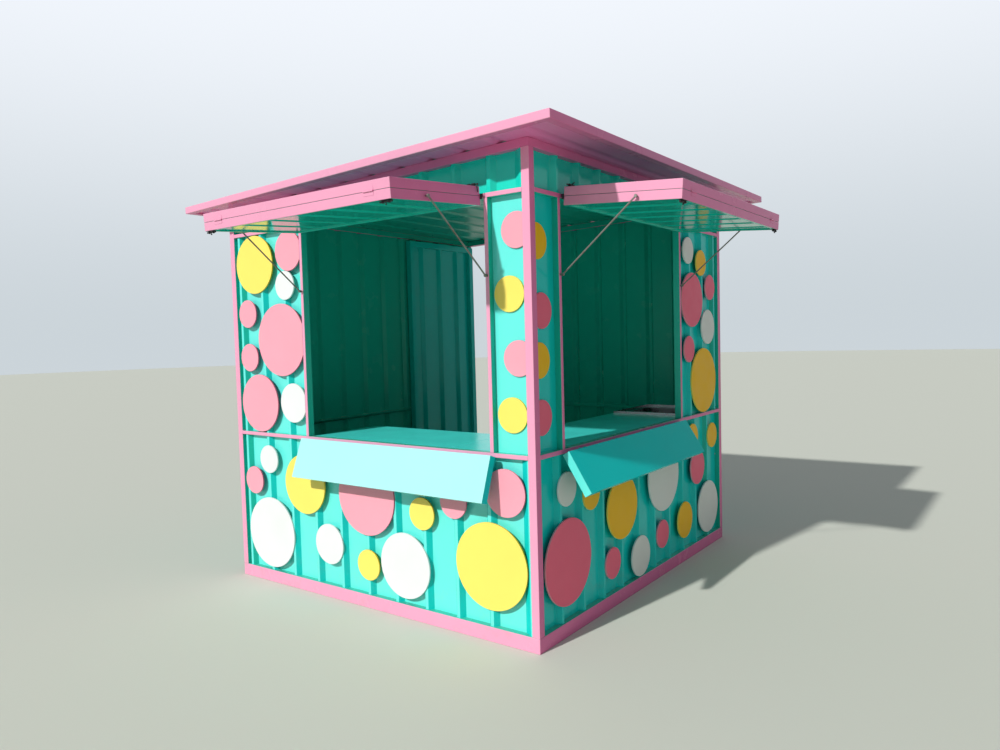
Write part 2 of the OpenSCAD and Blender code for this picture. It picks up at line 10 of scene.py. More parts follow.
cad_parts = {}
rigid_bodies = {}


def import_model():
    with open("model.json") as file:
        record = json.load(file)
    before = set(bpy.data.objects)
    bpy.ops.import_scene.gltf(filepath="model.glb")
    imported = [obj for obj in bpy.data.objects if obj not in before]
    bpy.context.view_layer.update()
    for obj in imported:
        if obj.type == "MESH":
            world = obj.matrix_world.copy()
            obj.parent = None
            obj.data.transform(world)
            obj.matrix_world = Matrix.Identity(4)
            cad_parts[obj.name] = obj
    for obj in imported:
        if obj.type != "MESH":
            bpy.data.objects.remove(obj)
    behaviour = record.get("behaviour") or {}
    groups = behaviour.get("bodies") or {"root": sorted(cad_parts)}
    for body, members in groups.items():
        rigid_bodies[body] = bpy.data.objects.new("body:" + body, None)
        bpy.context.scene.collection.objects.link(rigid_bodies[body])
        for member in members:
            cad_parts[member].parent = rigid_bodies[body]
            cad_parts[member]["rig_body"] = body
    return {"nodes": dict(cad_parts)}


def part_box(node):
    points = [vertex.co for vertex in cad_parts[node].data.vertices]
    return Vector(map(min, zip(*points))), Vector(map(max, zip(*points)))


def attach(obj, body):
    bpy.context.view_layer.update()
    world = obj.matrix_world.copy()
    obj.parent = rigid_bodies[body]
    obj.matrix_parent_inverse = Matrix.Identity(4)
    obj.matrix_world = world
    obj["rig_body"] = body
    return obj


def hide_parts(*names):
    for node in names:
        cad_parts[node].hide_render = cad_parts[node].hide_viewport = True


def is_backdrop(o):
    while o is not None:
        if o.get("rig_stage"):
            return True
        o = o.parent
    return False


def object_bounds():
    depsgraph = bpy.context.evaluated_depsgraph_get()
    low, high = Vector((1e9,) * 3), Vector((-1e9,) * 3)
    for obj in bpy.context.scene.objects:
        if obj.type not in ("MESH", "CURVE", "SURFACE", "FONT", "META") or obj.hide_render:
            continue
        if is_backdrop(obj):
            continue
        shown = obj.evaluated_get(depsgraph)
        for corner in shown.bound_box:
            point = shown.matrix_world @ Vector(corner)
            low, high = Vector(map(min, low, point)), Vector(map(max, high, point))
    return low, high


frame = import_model()
CAD_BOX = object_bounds()
NODES = frame["nodes"]
MM = 0.001

# The camera stands where the photograph was taken, right of the near corner
CAMERA_AT = (2.6808, -3.5550, 1.3132)
CAMERA_YAW = 36.42
CAMERA_PITCH = -3.06
CAMERA_ROLL = -1.51
SENSOR_WIDTH = 36.0
LENS = 27.10

# The walls' faces, the frame's tube and the sheets' depth behind the faces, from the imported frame
HALF_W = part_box("front_right_post")[1][0]
HALF_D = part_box("back_right_post")[1][1]
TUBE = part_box("front_right_post")[1][0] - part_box("front_right_post")[0][0]
SHEET_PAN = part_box("front_corner_sheet")[0][1] + HALF_D

# The sun's direction, from the shadows of the roof, the awnings and the rails in the photograph
SUN_FROM = (-0.16, -1.0, 0.70)
SUN_SOFTNESS = 1.6
SUN_STRENGTH = 3.3
SUN_COLOUR = (1.0, 0.975, 0.94)

# The sky's even light, and the backdrop's colours at the horizon and from BACKDROP_RISE upwards
SKY_COLOUR = (0.90, 0.94, 1.0)
SKY_STRENGTH = 0.29
BACKDROP_LOW = (0.60, 0.66, 0.70)
BACKDROP_HIGH = (0.90, 0.94, 1.0)
BACKDROP_RISE = 0.45

# The plain floor
FLOOR = (0.62, 0.65, 0.58)
FLOOR_ROUGH = 0.9
FLOOR_RADIUS = 40
FLOOR_CORNERS = 96

# Colours as linear values. Each paint with a paler copy is painted light: the paler copy stands for the
# front wall's sun on what faces it, the plain one for the shade elsewhere
PINK = (0.77, 0.20, 0.41)
PINK_PAINTED_SUN = (0.84, 0.36, 0.53)
SOFFIT_PINK = (0.88, 0.24, 0.52)
TEAL = (0.006, 0.62, 0.58)
TEAL_PAINTED_SUN = (0.13, 0.82, 0.75)
# A teal between the shaded teal and its paler sunlit copy, for the header sheets: partly painted
# sunlight, for the patch of sun under the roof
TEAL_HEADER = (0.01, 0.68, 0.54)
# A deeper, greener teal for the room's side of the sheets, the frame's inner sides, the ceiling and the
# awnings: painted shade, with the green of light off the ground
TEAL_PAINTED_SHADE = (0.012, 0.52, 0.40)
BOARD = (0.006, 0.66, 0.65)
BOARD_PAINTED_SUN = (0.38, 0.86, 0.84)
# A brighter copy of the boards' teal for the counters: painted light, to make them as bright as lit
# counters
COUNTER = (0.07, 0.90, 0.85)
DOT_PINK = (0.88, 0.15, 0.24)
DOT_PINK_PAINTED_SUN = (0.93, 0.37, 0.46)
DOT_YELLOW = (0.92, 0.52, 0.015)
DOT_YELLOW_PAINTED_SUN = (0.96, 0.77, 0.14)
DOT_WHITE = (0.74, 0.76, 0.73)
DOT_WHITE_PAINTED_SUN = (0.79, 0.81, 0.82)
RUST = (0.13, 0.075, 0.045)
SPLASHED_DIRT = (0.30, 0.25, 0.17)
SETTLED_DUST = (0.50, 0.46, 0.40)

# Height up to which the walls are splashed from the ground
SPLASH_TOP = 0.30

# Directions of the surfaces that get the paler copies painted as sunlight: any part turned to the
# front, or square on to it
TURNED_TO_FRONT = -0.2
SQUARE_TO_FRONT = -0.93

# Rounded edges, from the tubes' corners down to the small fittings', and the folds of the ribbed sheets
TUBE_EDGE = 2.2 * MM
THICK_EDGE = 3 * MM
BOARD_EDGE = 2 * MM
THIN_EDGE = 1 * MM
FITTING_EDGE = 0.5 * MM
SHEET_FOLD = 1.6 * MM
ROOF_FOLD = 4 * MM


def make_camera():
    """The camera, from the direction, tilt and roll that were measured."""
    yaw, pitch, roll = (math.radians(a) for a in (CAMERA_YAW, CAMERA_PITCH, CAMERA_ROLL))
    ahead = Vector((-math.sin(yaw) * math.cos(pitch), math.cos(yaw) * math.cos(pitch), math.sin(pitch)))
    right = ahead.cross(Vector((0, 0, 1))).normalized()
    up = right.cross(ahead)
    tilted_right = math.cos(roll) * right + math.sin(roll) * up
    tilted_up = -math.sin(roll) * right + math.cos(roll) * up
    data = bpy.data.cameras.new("camera")
    data.sensor_width = SENSOR_WIDTH
    data.lens = LENS
    data.clip_end = 200
    camera = bpy.data.objects.new("camera", data)
    turn = Matrix((tilted_right, tilted_up, -ahead)).transposed().to_4x4()
    camera.matrix_world = Matrix.Translation(CAMERA_AT) @ turn
    bpy.context.scene.collection.objects.link(camera)
    bpy.context.scene.camera = camera


class Shader:
    """A material's node tree, with short calls for the nodes used here."""

    def __init__(self, name):
        self.material = bpy.data.materials.new(name)
        self.material.use_nodes = True
        self.nodes = self.material.node_tree.nodes
        self.links = self.material.node_tree.links
        self.bsdf = self.nodes["Principled BSDF"]
        self.coordinates = self.nodes.new("ShaderNodeTexCoord")
        self.position = self.coordinates.outputs["Object"]

    def set(self, socket, value):
        if isinstance(value, tuple) and len(value) == 3:
            value = (*value, 1)
        self.bsdf.inputs[socket].default_value = value

    def link(self, output, socket):
        self.links.new(output, self.bsdf.inputs[socket])

    def noise(self, scale, detail=3.0, stretch=None, roughness=0.5):
        node = self.nodes.new("ShaderNodeTexNoise")
        node.inputs["Scale"].default_value = scale
        node.inputs["Detail"].default_value = detail
        node.inputs["Roughness"].default_value = roughness
        position = self.position
        if stretch:
            mapping = self.nodes.new("ShaderNodeMapping")
            mapping.inputs["Scale"].default_value = stretch
            self.links.new(self.position, mapping.inputs["Vector"])
            position = mapping.outputs["Vector"]
        self.links.new(position, node.inputs["Vector"])
        return node.outputs["Fac"]

    def ramp(self, value, low, high, to_low=0.0, to_high=1.0):
        node = self.nodes.new("ShaderNodeMapRange")
        node.inputs["From Min"].default_value = low
        node.inputs["From Max"].default_value = high
        node.inputs["To Min"].default_value = to_low
        node.inputs["To Max"].default_value = to_high
        self.links.new(value, node.inputs["Value"])
        return node.outputs["Result"]

    def combine(self, operation, a, b):
        node = self.nodes.new("ShaderNodeMath")
        node.operation = operation
        for socket, value in zip(node.inputs, (a, b)):
            if isinstance(value, (int, float)):
                socket.default_value = value
            else:
                self.links.new(value, socket)
        return node.outputs["Value"]

    def mix(self, factor, a, b):
        node = self.nodes.new("ShaderNodeMix")
        node.data_type = "RGBA"
        for socket, value in zip((node.inputs[0], node.inputs[6], node.inputs[7]), (factor, a, b)):
            if isinstance(value, tuple):
                socket.default_value = (*value, 1) if len(value) == 3 else value
            elif isinstance(value, (int, float)):
                socket.default_value = value
            else:
                self.links.new(value, socket)
        return node.outputs[2]

    def axis(self, letter):
        node = self.nodes.new("ShaderNodeSeparateXYZ")
        self.links.new(self.position, node.inputs["Vector"])
        return node.outputs[letter]

    def facing_up(self):
        """How far the surface faces up, on the piece as it is at rest."""
        node = self.nodes.new("ShaderNodeSeparateXYZ")
        self.links.new(self.coordinates.outputs["Normal"], node.inputs["Vector"])
        return node.outputs["Z"]

    def bump(self, *layers):
        """Bumps as (height, strength, distance), each on top of the one before."""
        normal = None
        for height, strength, distance in layers:
            node = self.nodes.new("ShaderNodeBump")
            node.inputs["Strength"].default_value = strength
            node.inputs["Distance"].default_value = distance
            self.links.new(height, node.inputs["Height"])
            if normal is not None:
                self.links.new(normal, node.inputs["Normal"])
            normal = node.outputs["Normal"]
        self.link(normal, "Normal")


def tint(colour, factor):
    return tuple(min(1.0, c * factor) for c in colour)


def enamel(name, colour, rough=(0.16, 0.30), coat=0.25, specular=0.5, waves=0.0, settled=0.12):
    """Gloss enamel: slight shade changes, orange peel, splashes low down and dust on what faces up."""
    s = Shader(name)
    patchy = s.mix(s.noise(scale=2.3, detail=4), tint(colour, 0.93), tint(colour, 1.06))
    cloud = s.noise(scale=11, detail=6, roughness=0.62)
    low_down = s.ramp(s.axis("Z"), 0.0, SPLASH_TOP, to_low=0.85, to_high=0.06)
    splashed = s.combine("MULTIPLY", s.ramp(cloud, 0.52, 0.78, to_high=0.30), low_down)
    on_top = s.ramp(s.facing_up(), 0.4, 0.95, to_high=settled)
    lying = s.combine("MULTIPLY", on_top, s.ramp(cloud, 0.2, 0.7, to_low=0.6))
    s.link(s.mix(lying, s.mix(splashed, patchy, SPLASHED_DIRT), SETTLED_DUST), "Base Color")
    gloss = s.ramp(s.noise(scale=6.5, detail=5), 0.3, 0.7, *rough)
    dulled = s.combine("MULTIPLY", s.combine("MAXIMUM", splashed, lying), 0.6)
    s.link(s.combine("ADD", gloss, dulled), "Roughness")
    s.set("Specular IOR Level", specular)
    s.set("Coat Weight", coat)
    s.set("Coat Roughness", 0.06)
    layers = [(s.noise(scale=330, detail=2), 0.10, 0.0006)]
    if waves:
        layers.insert(0, (s.noise(scale=3.2, detail=2, stretch=(1.0, 1.0, 0.55)), waves, 0.020))
    s.bump(*layers)
    return s.material


def dot_paint(name, colour, specular=0.4):
    """Roller-painted board: satin, with a fine stipple and a faint fade."""
    s = Shader(name)
    mottle_and_painted_sun = s.mix(s.noise(scale=4.5, detail=4), tint(colour, 0.94), tint(colour, 1.05))
    specks = s.ramp(s.noise(scale=60, detail=5, roughness=0.7), 0.66, 0.80, to_high=0.35)
    s.link(s.mix(specks, mottle_and_painted_sun, tint(colour, 0.80)), "Base Color")
    s.link(s.ramp(s.noise(scale=14, detail=4), 0.3, 0.7, 0.34, 0.50), "Roughness")
    s.set("Specular IOR Level", specular)
    s.bump((s.noise(scale=260, detail=3), 0.22, 0.0008), (s.noise(scale=5, detail=2), 0.15, 0.004))
    return s.material


def brushed_steel(name, colour, stretch, rough):
    """Stainless sheet with its grain along one axis."""
    s = Shader(name)
    s.set("Metallic", 1.0)
    grain = s.noise(scale=420, detail=3, stretch=stretch)
    s.link(s.mix(grain, tint(colour, 0.88), tint(colour, 1.05)), "Base Color")
    s.link(s.ramp(s.noise(scale=9, detail=4), 0.3, 0.7, *rough), "Roughness")
    s.bump((grain, 0.16, 0.0004))
    return s.material


def worn_steel(name, colour):
    """Bare mild steel rod: dull, with a bloom of rust."""
    s = Shader(name)
    bloom = s.ramp(s.noise(scale=38, detail=6, roughness=0.65), 0.50, 0.66, to_high=0.75)
    s.link(s.mix(bloom, colour, RUST), "Base Color")
    s.link(s.ramp(bloom, 0.0, 0.75, to_low=0.75, to_high=0.1), "Metallic")
    s.link(s.ramp(s.noise(scale=50, detail=4), 0.3, 0.7, 0.35, 0.65), "Roughness")
    s.bump((s.noise(scale=240, detail=4), 0.25, 0.0006))
    return s.material


def black_iron(name):
    """Black hardware, rubbed a little at its high spots."""
    s = Shader(name)
    rubbed = s.ramp(s.noise(scale=120, detail=4), 0.60, 0.72, to_high=0.5)
    s.link(s.mix(rubbed, (0.012, 0.012, 0.014), (0.10, 0.09, 0.085)), "Base Color")
    s.link(s.ramp(s.noise(scale=70, detail=3), 0.3, 0.7, 0.32, 0.55), "Roughness")
    s.set("Metallic", 0.4)
    s.bump((s.noise(scale=300, detail=3), 0.2, 0.0004))
    return s.material


def floor_ply(name):
    """Film-faced floor board: brown and scuffed."""
    s = Shader(name)
    grain = s.noise(scale=24, detail=6, stretch=(1.0, 0.08, 1.0), roughness=0.6)
    wood = s.mix(grain, (0.20, 0.115, 0.060), (0.36, 0.235, 0.140))
    scuffs = s.ramp(s.noise(scale=7, detail=6, roughness=0.7), 0.50, 0.70, to_high=0.6)
    s.link(s.mix(scuffs, wood, (0.33, 0.29, 0.24)), "Base Color")
    s.link(s.ramp(s.noise(scale=12, detail=4), 0.3, 0.7, 0.45, 0.75), "Roughness")
    s.bump((grain, 0.25, 0.0006))
    return s.material


# Where a paint comes twice, plain and paler, the two are its shaded and its sunlit copies: painted
# light
MATERIALS = {
    "pink": enamel("pink_enamel", PINK, coat=0.0, specular=0.12),
    "pink_painted_sun": enamel("painted_sun_pink_enamel", PINK_PAINTED_SUN, coat=0.08, specular=0.3),
    "pink_soffit": enamel("pink_soffit", SOFFIT_PINK, rough=(0.28, 0.42), coat=0.0, specular=0.3,
                          waves=0.05),
    "teal": enamel("teal_enamel", TEAL_PAINTED_SHADE, rough=(0.16, 0.28), coat=0.0, specular=0.25),
    "sheet": enamel("teal_sheet", TEAL, rough=(0.11, 0.22), coat=0.02, specular=0.15, waves=0.10),
    "sheet_painted_sun": enamel("painted_sun_teal_sheet", TEAL_PAINTED_SUN, rough=(0.11, 0.22), waves=0.10),
    "sheet_header": enamel("header_teal_sheet", TEAL_HEADER, rough=(0.07, 0.16), coat=0.0,
                           specular=0.25, waves=0.30),
    "sheet_inside": enamel("inside_teal_sheet", TEAL_PAINTED_SHADE, rough=(0.18, 0.30), coat=0.0,
                           specular=0.16, waves=0.10),
    "awning_sheet": enamel("awning_sheet", TEAL_PAINTED_SHADE, rough=(0.08, 0.16), coat=0.10, specular=0.30,
                           waves=0.06, settled=0.6),
    "ceiling": enamel("ceiling_sheet", TEAL_PAINTED_SHADE, rough=(0.25, 0.38), coat=0.0, specular=0.2,
                      waves=0.06),
    "counter": enamel("counter_board", COUNTER, rough=(0.12, 0.22), coat=0.0, specular=0.14,
                      waves=0.03, settled=0.04),
    "flap_board": enamel("flap_board", BOARD, rough=(0.14, 0.26), coat=0.0, specular=0.02, waves=0.03,
                         settled=0.0),
    "flap_painted_sun": enamel("painted_sun_flap_board", BOARD_PAINTED_SUN, rough=(0.12, 0.24), waves=0.03),
    "ply": floor_ply("floor_ply"),
    # The bowl's steel is darker than the rim's: painted shade inside the bowl
    "sink": brushed_steel("sink_steel", (0.36, 0.37, 0.38), (0.02, 1.0, 1.0), (0.20, 0.34)),
    "sink_rim": brushed_steel("sink_rim_steel", (0.66, 0.67, 0.69), (1.0, 0.02, 1.0), (0.16, 0.28)),
    "rod": worn_steel("bare_steel", (0.24, 0.24, 0.22)),
    "black": black_iron("black_iron"),
    "dot_pink": dot_paint("dot_pink", DOT_PINK, specular=0.12),
    "dot_pink_painted_sun": dot_paint("painted_sun_dot_pink", DOT_PINK_PAINTED_SUN),
    "dot_yellow": dot_paint("dot_yellow", DOT_YELLOW, specular=0.12),
    "dot_yellow_painted_sun": dot_paint("painted_sun_dot_yellow", DOT_YELLOW_PAINTED_SUN),
    "dot_white": dot_paint("dot_white", DOT_WHITE, specular=0.12),
    "dot_white_painted_sun": dot_paint("painted_sun_dot_white", DOT_WHITE_PAINTED_SUN),
}


# Corners this close are one corner, and faces this nearly in line are one face
SAME_POINT = 2e-6
SAME_PLANE = math.radians(0.6)

# Turns in degrees between two faces: at the walls' ribs, at the roof's lower ribs and at square edges
RIB_TURNS = (15, 70)
ROOF_TURNS = (8, 70)
SQUARE_TURNS = (75, 105)


def clean_copy(node):
    """A node's mesh with its shared corners joined and its flat faces whole again."""
    bm = bmesh.new()
    bm.from_mesh(NODES[node].data)
    bmesh.ops.remove_doubles(bm, verts=bm.verts, dist=SAME_POINT)
    bmesh.ops.dissolve_limit(bm, angle_limit=SAME_PLANE, verts=bm.verts, edges=bm.edges)
    bmesh.ops.recalc_face_normals(bm, faces=bm.faces)
    return bm


def edges_between(bm, low, high):
    """Edges whose faces turn by between low and high degrees."""
    shared = [edge for edge in bm.edges if len(edge.link_faces) == 2]
    return [edge for edge in shared if low < math.degrees(edge.calc_face_angle(0)) < high]


def round_edges(bm, edges, width, segments=3):
    if edges:
        bmesh.ops.bevel(bm, geom=edges, offset=width, offset_type="OFFSET", segments=segments,
                        profile=0.5, affect="EDGES", clamp_overlap=True)


def piece_from(bm, name, body, materials, pick=None, smooth_angle=32):
    """Turns a mesh into a piece on a body and in a slot, each face in the material that pick gives."""
    if pick:
        for face in bm.faces:
            face.material_index = pick(face.normal, face.calc_center_median())
    mesh = bpy.data.meshes.new(name)
    bm.to_mesh(mesh)
    bm.free()
    for key in materials:
        mesh.materials.append(MATERIALS[key])
    for polygon in mesh.polygons:
        polygon.use_smooth = True
    mesh.set_sharp_from_angle(angle=math.radians(smooth_angle))
    piece = bpy.data.objects.new(name, mesh)
    bpy.context.scene.collection.objects.link(piece)
    flat = piece.modifiers.new("flat faces stay flat", "WEIGHTED_NORMAL")
    flat.keep_sharp = True
    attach(piece, body)
    return piece


def body_of(node):
    return NODES[node]["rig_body"]


def dress(node, materials, pick=None, edge=TUBE_EDGE, segments=3, fold=None):
    """Stands a finished piece in for a node: rolled folds, rounded edges and its paint."""
    bm = clean_copy(node)
    if fold:
        round_edges(bm, edges_between(bm, *RIB_TURNS), fold)
    if edge:
        round_edges(bm, edges_between(bm, *SQUARE_TURNS), edge, segments)
    piece = piece_from(bm, node + "_piece", body_of(node), materials, pick)
    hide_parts(node)


# A pick gives the place of a face's paint in its piece's list, from the face's normal and centre.
# The pinks: 0 is the pink, 1 the teal of what faces the room in its deeper copy painted as shade, 2 the
# paler pink painted as sunlight
PINKS = ["pink", "teal", "pink_painted_sun"]

# How far behind a wall's face a tube's rounded edge still counts as outside
OUTER = 3.2 * MM


def with_painted_sun(pick):
    """The given pick, with the paler pink painted as sunlight on what faces the front wall's sun."""

    def mottle_and_painted_sun(normal, centre):
        chosen = pick(normal, centre)
        return 2 if chosen == 0 and normal.y < TURNED_TO_FRONT else chosen

    return mottle_and_painted_sun


def sunny_side(normal, centre):
    """The second paint, the paler copy painted as sunlight, on what faces the front wall's sun."""
    return 1 if normal.y < TURNED_TO_FRONT else 0


def inside_walls(centre, margin=0.0):
    return abs(centre.x) < HALF_W - margin and abs(centre.y) < HALF_D - margin


def outside_pink(normal, centre):
    """Pink on the walls' outer faces, teal on every other side of the tube."""
    out_x = abs(centre.x) > HALF_W - OUTER and abs(normal.x) > 0.3
    out_y = abs(centre.y) > HALF_D - OUTER and abs(normal.y) > 0.3
    return 0 if out_x or out_y else 1


def base_pink(normal, centre):
    """Pink on the base frame's outer faces and underside."""
    return 0 if outside_pink(normal, centre) == 0 or normal.z < -0.3 else 1


def roof_pink(normal, centre):
    """Pink on the roof frame, teal on what stands over the room, and the paler pink painted as sunlight
    on what faces the front beyond the walls.
    """
    if inside_walls(centre, TUBE / 2) and abs(normal.z) < 0.5:
        return 1
    in_shade = inside_walls(centre, -2 * MM)
    return 2 if normal.y < TURNED_TO_FRONT and not in_shade else 0


def dress_frame():
    posts = ["front_left_post", "front_right_post", "back_left_post", "back_right_post"]
    for node in posts + ["sill_rails", "header_rails", "window_jambs", "door_jamb"]:
        dress(node, PINKS, with_painted_sun(outside_pink))
    dress("base_frame", PINKS, with_painted_sun(base_pink), edge=THICK_EDGE)
    dress("floor_board", ["ply"], edge=THIN_EDGE)
    dress("roof_frame", PINKS, roof_pink, edge=THICK_EDGE)


def dress_roof_sheet():
    """The roof sheet, pink outside and pink under the overhangs, teal over the room."""
    bm = clean_copy("roof_sheet")
    round_edges(bm, edges_between(bm, *ROOF_TURNS), ROOF_FOLD)
    wall_x = HALF_W - TUBE / 2
    wall_y = HALF_D - TUBE / 2
    cuts = (((wall_x, 0, 0), (1, 0, 0)), ((-wall_x, 0, 0), (1, 0, 0)),
            ((0, wall_y, 0), (0, 1, 0)), ((0, -wall_y, 0), (0, 1, 0)))
    for point, normal in cuts:
        geometry = bm.verts[:] + bm.edges[:] + bm.faces[:]
        bmesh.ops.bisect_plane(bm, geom=geometry, plane_co=point, plane_no=normal, dist=1e-6)
    pick = lambda normal, centre: 1 if normal.z < 0 and inside_walls(centre, TUBE / 2) else 0
    materials = ["pink_soffit", "ceiling"]
    piece = piece_from(bm, "roof_sheet_piece", body_of("roof_sheet"), materials, pick)
    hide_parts("roof_sheet")


def outside_sheet(normal, centre):
    """The outside's teal on a wall sheet's outer faces, and the deeper teal painted as shade on the
    rest.
    """
    return 0 if normal.x * centre.x + normal.y * centre.y > 0 else 2


def front_sheet(normal, centre):
    """As outside_sheet, with the paler teal painted as sunlight on the flats and crests that face the
    front wall's sun.
    """
    chosen = outside_sheet(normal, centre)
    return 1 if chosen == 0 and normal.y < SQUARE_TO_FRONT else chosen


def dress_sheets():
    """The walls' and awnings' sheets, with rolled folds."""
    for node in sorted(NODES):
        if node in ("roof_sheet", "door_sheet") or not node.endswith(("_sheet", "_sheets")):
            continue
        materials = ["sheet", "sheet_painted_sun", "sheet_inside"]
        pick = outside_sheet
        if "awning" in node:
            materials = ["awning_sheet"]
            pick = None
        elif "header" in node:
            materials[0] = "sheet_header"
        elif node.startswith("front_"):
            pick = front_sheet
        dress(node, materials, pick, edge=None, fold=SHEET_FOLD)


def leaf_pink(node):
    """Pink on the rims of a node's awning leaves, teal on their other faces."""
    low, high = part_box(node)
    slope_room = 9 * MM

    def pick(normal, centre):
        rim = False
        for axis in (0, 1):
            at_low = centre[axis] < low[axis] + slope_room and normal[axis] < -0.3
            at_high = centre[axis] > high[axis] - slope_room and normal[axis] > 0.3
            rim = rim or at_low or at_high
        return 0 if rim else 1

    return pick


def dress_awnings():
    for side in ("front", "side"):
        node = side + "_awning_frames"
        dress(node, PINKS, with_painted_sun(leaf_pink(node)), edge=BOARD_EDGE)
    dress("awning_hinges", ["pink", "pink_painted_sun"], sunny_side, edge=0.4 * MM, segments=1)
    dress("awning_stays", ["rod"], edge=0.6 * MM, segments=1)
    dress("awning_bolts", ["black"], edge=FITTING_EDGE, segments=1)


def dress_door():
    dress("door_frame", ["sheet"])
    dress("door_sheet", ["sheet"], edge=None, fold=SHEET_FOLD)
    dress("door_hinges", ["teal"], edge=FITTING_EDGE, segments=1)


def dress_counters():
    for node in ("front_counter", "side_counter"):
        dress(node, ["counter"], edge=BOARD_EDGE)
    # The flaps' faces turned to the front take a paler copy of their paint, painted as sunlight
    dress("front_flap", ["flap_board", "flap_painted_sun"], sunny_side, edge=BOARD_EDGE)
    dress("side_flap", ["flap_board", "sheet_painted_sun"], sunny_side, edge=BOARD_EDGE)
    dress("flap_hinges", ["teal"], edge=FITTING_EDGE, segments=1)
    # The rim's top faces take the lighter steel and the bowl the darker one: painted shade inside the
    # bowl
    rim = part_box("sink")[1][2] - 2 * MM
    rim_pick = lambda normal, centre: 1 if centre.z > rim else 0
    dress("sink", ["sink", "sink_rim"], rim_pick, edge=0.8 * MM, segments=2)


def dress_dots():
    # Each dot's paint, and its paler copy painted as sunlight on the faces turned to the front
    for colour in ("pink", "yellow", "white"):
        materials = ["dot_" + colour, "dot_" + colour + "_painted_sun"]
        dress(colour + "_dots", materials, sunny_side, edge=THIN_EDGE, segments=2)


def tube(bm, centres, radii, sides=8):
    """A closed tube through the given centres, with a radius at each."""
    side = (centres[1] - centres[0]).orthogonal().normalized()
    turns = [2 * math.pi * k / sides for k in range(sides)]
    rings = []
    for i, (middle, radius) in enumerate(zip(centres, radii)):
        ahead = centres[min(i + 1, len(centres) - 1)] - centres[max(i - 1, 0)]
        side = (side - side.project(ahead)).normalized()
        up = ahead.normalized().cross(side)
        outward = [math.cos(t) * side + math.sin(t) * up for t in turns]
        rings.append([bm.verts.new(middle + radius * direction) for direction in outward])
    for a, b in zip(rings, rings[1:]):
        for k in range(sides):
            bm.faces.new((a[k], a[(k + 1) % sides], b[(k + 1) % sides], b[k]))
    bm.faces.new(list(reversed(rings[0])))
    bm.faces.new(rings[-1])


def level_ring(bm, centre, radius, count):
    """A level ring of corners."""
    turns = [2 * math.pi * k / count for k in range(count)]
    return [bm.verts.new(centre + radius * Vector((math.cos(t), math.sin(t), 0))) for t in turns]


def join_rings(bm, a, b, keep=lambda k: True):
    """Faces between two rings, but for the places that keep refuses."""
    count = len(a)
    for k in range(count):
        if keep(k):
            bm.faces.new((a[k], b[k], b[(k + 1) % count], a[(k + 1) % count]))


# Walls as places: along the wall, inwards from its face, and up
def at_front(along, inward, z):
    return along, -HALF_D + inward, z


def at_side(along, inward, z):
    return HALF_W - inward, along, z


def at_left(along, inward, z):
    return -HALF_W + inward, along, z


# Weld beads, with their distance off the joint's faces, and their ends' depths behind the wall's face
WELD_RADIUS = 2.2 * MM
WELD_RIPPLE = 1.6 * MM
WELD_OFF = 0.8 * MM
WELD_DEPTHS = (3 * MM, 27 * MM)

# Tack welds up the posts, with the bare stretches that they leave below and above
TACK_RADIUS = 1.7 * MM
TACK_OFF = 0.6 * MM
TACK_LENGTH = 9 * MM
TACK_SPACING = 0.31
TACK_SPREAD = 0.04
BARE_BELOW = 0.12
BARE_ABOVE = 0.08


def bead(bm, start, end, radius, seed):
    """A rippled weld bead from start to end."""
    rng = random.Random(seed)
    start, end = Vector(start), Vector(end)
    count = max(6, round((end - start).length / WELD_RIPPLE))
    steps = [i / count for i in range(count + 1)]
    swells = [math.sqrt(max(0.02, 1 - (2 * t - 1) ** 6)) for t in steps]
    ripples = [1 + 0.16 * math.sin(i * 2.1) + rng.uniform(-0.08, 0.08) for i in range(count + 1)]
    radii = [radius * swell * ripple for swell, ripple in zip(swells, ripples)]
    tube(bm, [start.lerp(end, t) for t in steps], radii)


def wall_welds(bm, wall, uprights, heights):
    """Beads along the depth of each joint of a wall, where its uprights meet the rails."""
    for n, (at, towards) in enumerate(uprights):
        for m, (z, lift) in enumerate(heights):
            along = at + towards * WELD_OFF
            up = z + lift * WELD_OFF
            start, end = (wall(along, depth, up) for depth in WELD_DEPTHS)
            bead(bm, start, end, WELD_RADIUS, seed=100 * n + m)


def tack_welds(bm, wall, uprights, low, high, seed):
    """Short upright beads that hold the sheets to the frame."""
    rng = random.Random(seed)
    for at, towards in uprights:
        along = at + towards * TACK_OFF
        z = low + BARE_BELOW
        while z < high - BARE_ABOVE:
            start, end = (wall(along, SHEET_PAN, height) for height in (z, z + TACK_LENGTH))
            bead(bm, start, end, TACK_RADIUS, seed=rng.random())
            z += TACK_SPACING + rng.uniform(-TACK_SPREAD, TACK_SPREAD)


def add_welds():
    """Weld beads where the rails meet the posts, and tacks where the sheets do."""
    bm = bmesh.new()
    sill_low, sill = (corner[2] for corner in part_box("sill_rails"))
    head, head_top = (corner[2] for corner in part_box("header_rails"))
    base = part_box("base_frame")[1][2]
    heights = [(sill, 1), (sill_low, -1), (head, -1), (head_top, 1)]
    front_posts = [(-HALF_W + TUBE, 1), (HALF_W - TUBE, -1)]
    side_posts = [(-HALF_D + TUBE, 1), (HALF_D - TUBE, -1)]
    wall_welds(bm, at_front, front_posts, heights)
    wall_welds(bm, at_side, side_posts, heights)
    wall_welds(bm, at_left, side_posts, heights[:2])
    for wall, posts in ((at_front, front_posts[:1]), (at_side, side_posts), (at_left, side_posts)):
        tack_welds(bm, wall, posts, base, sill_low, seed=5)
        tack_welds(bm, wall, posts, sill, head, seed=7)
    piece_from(bm, "frame_welds", "body", ["pink", "pink_painted_sun"], sunny_side,
               smooth_angle=60)


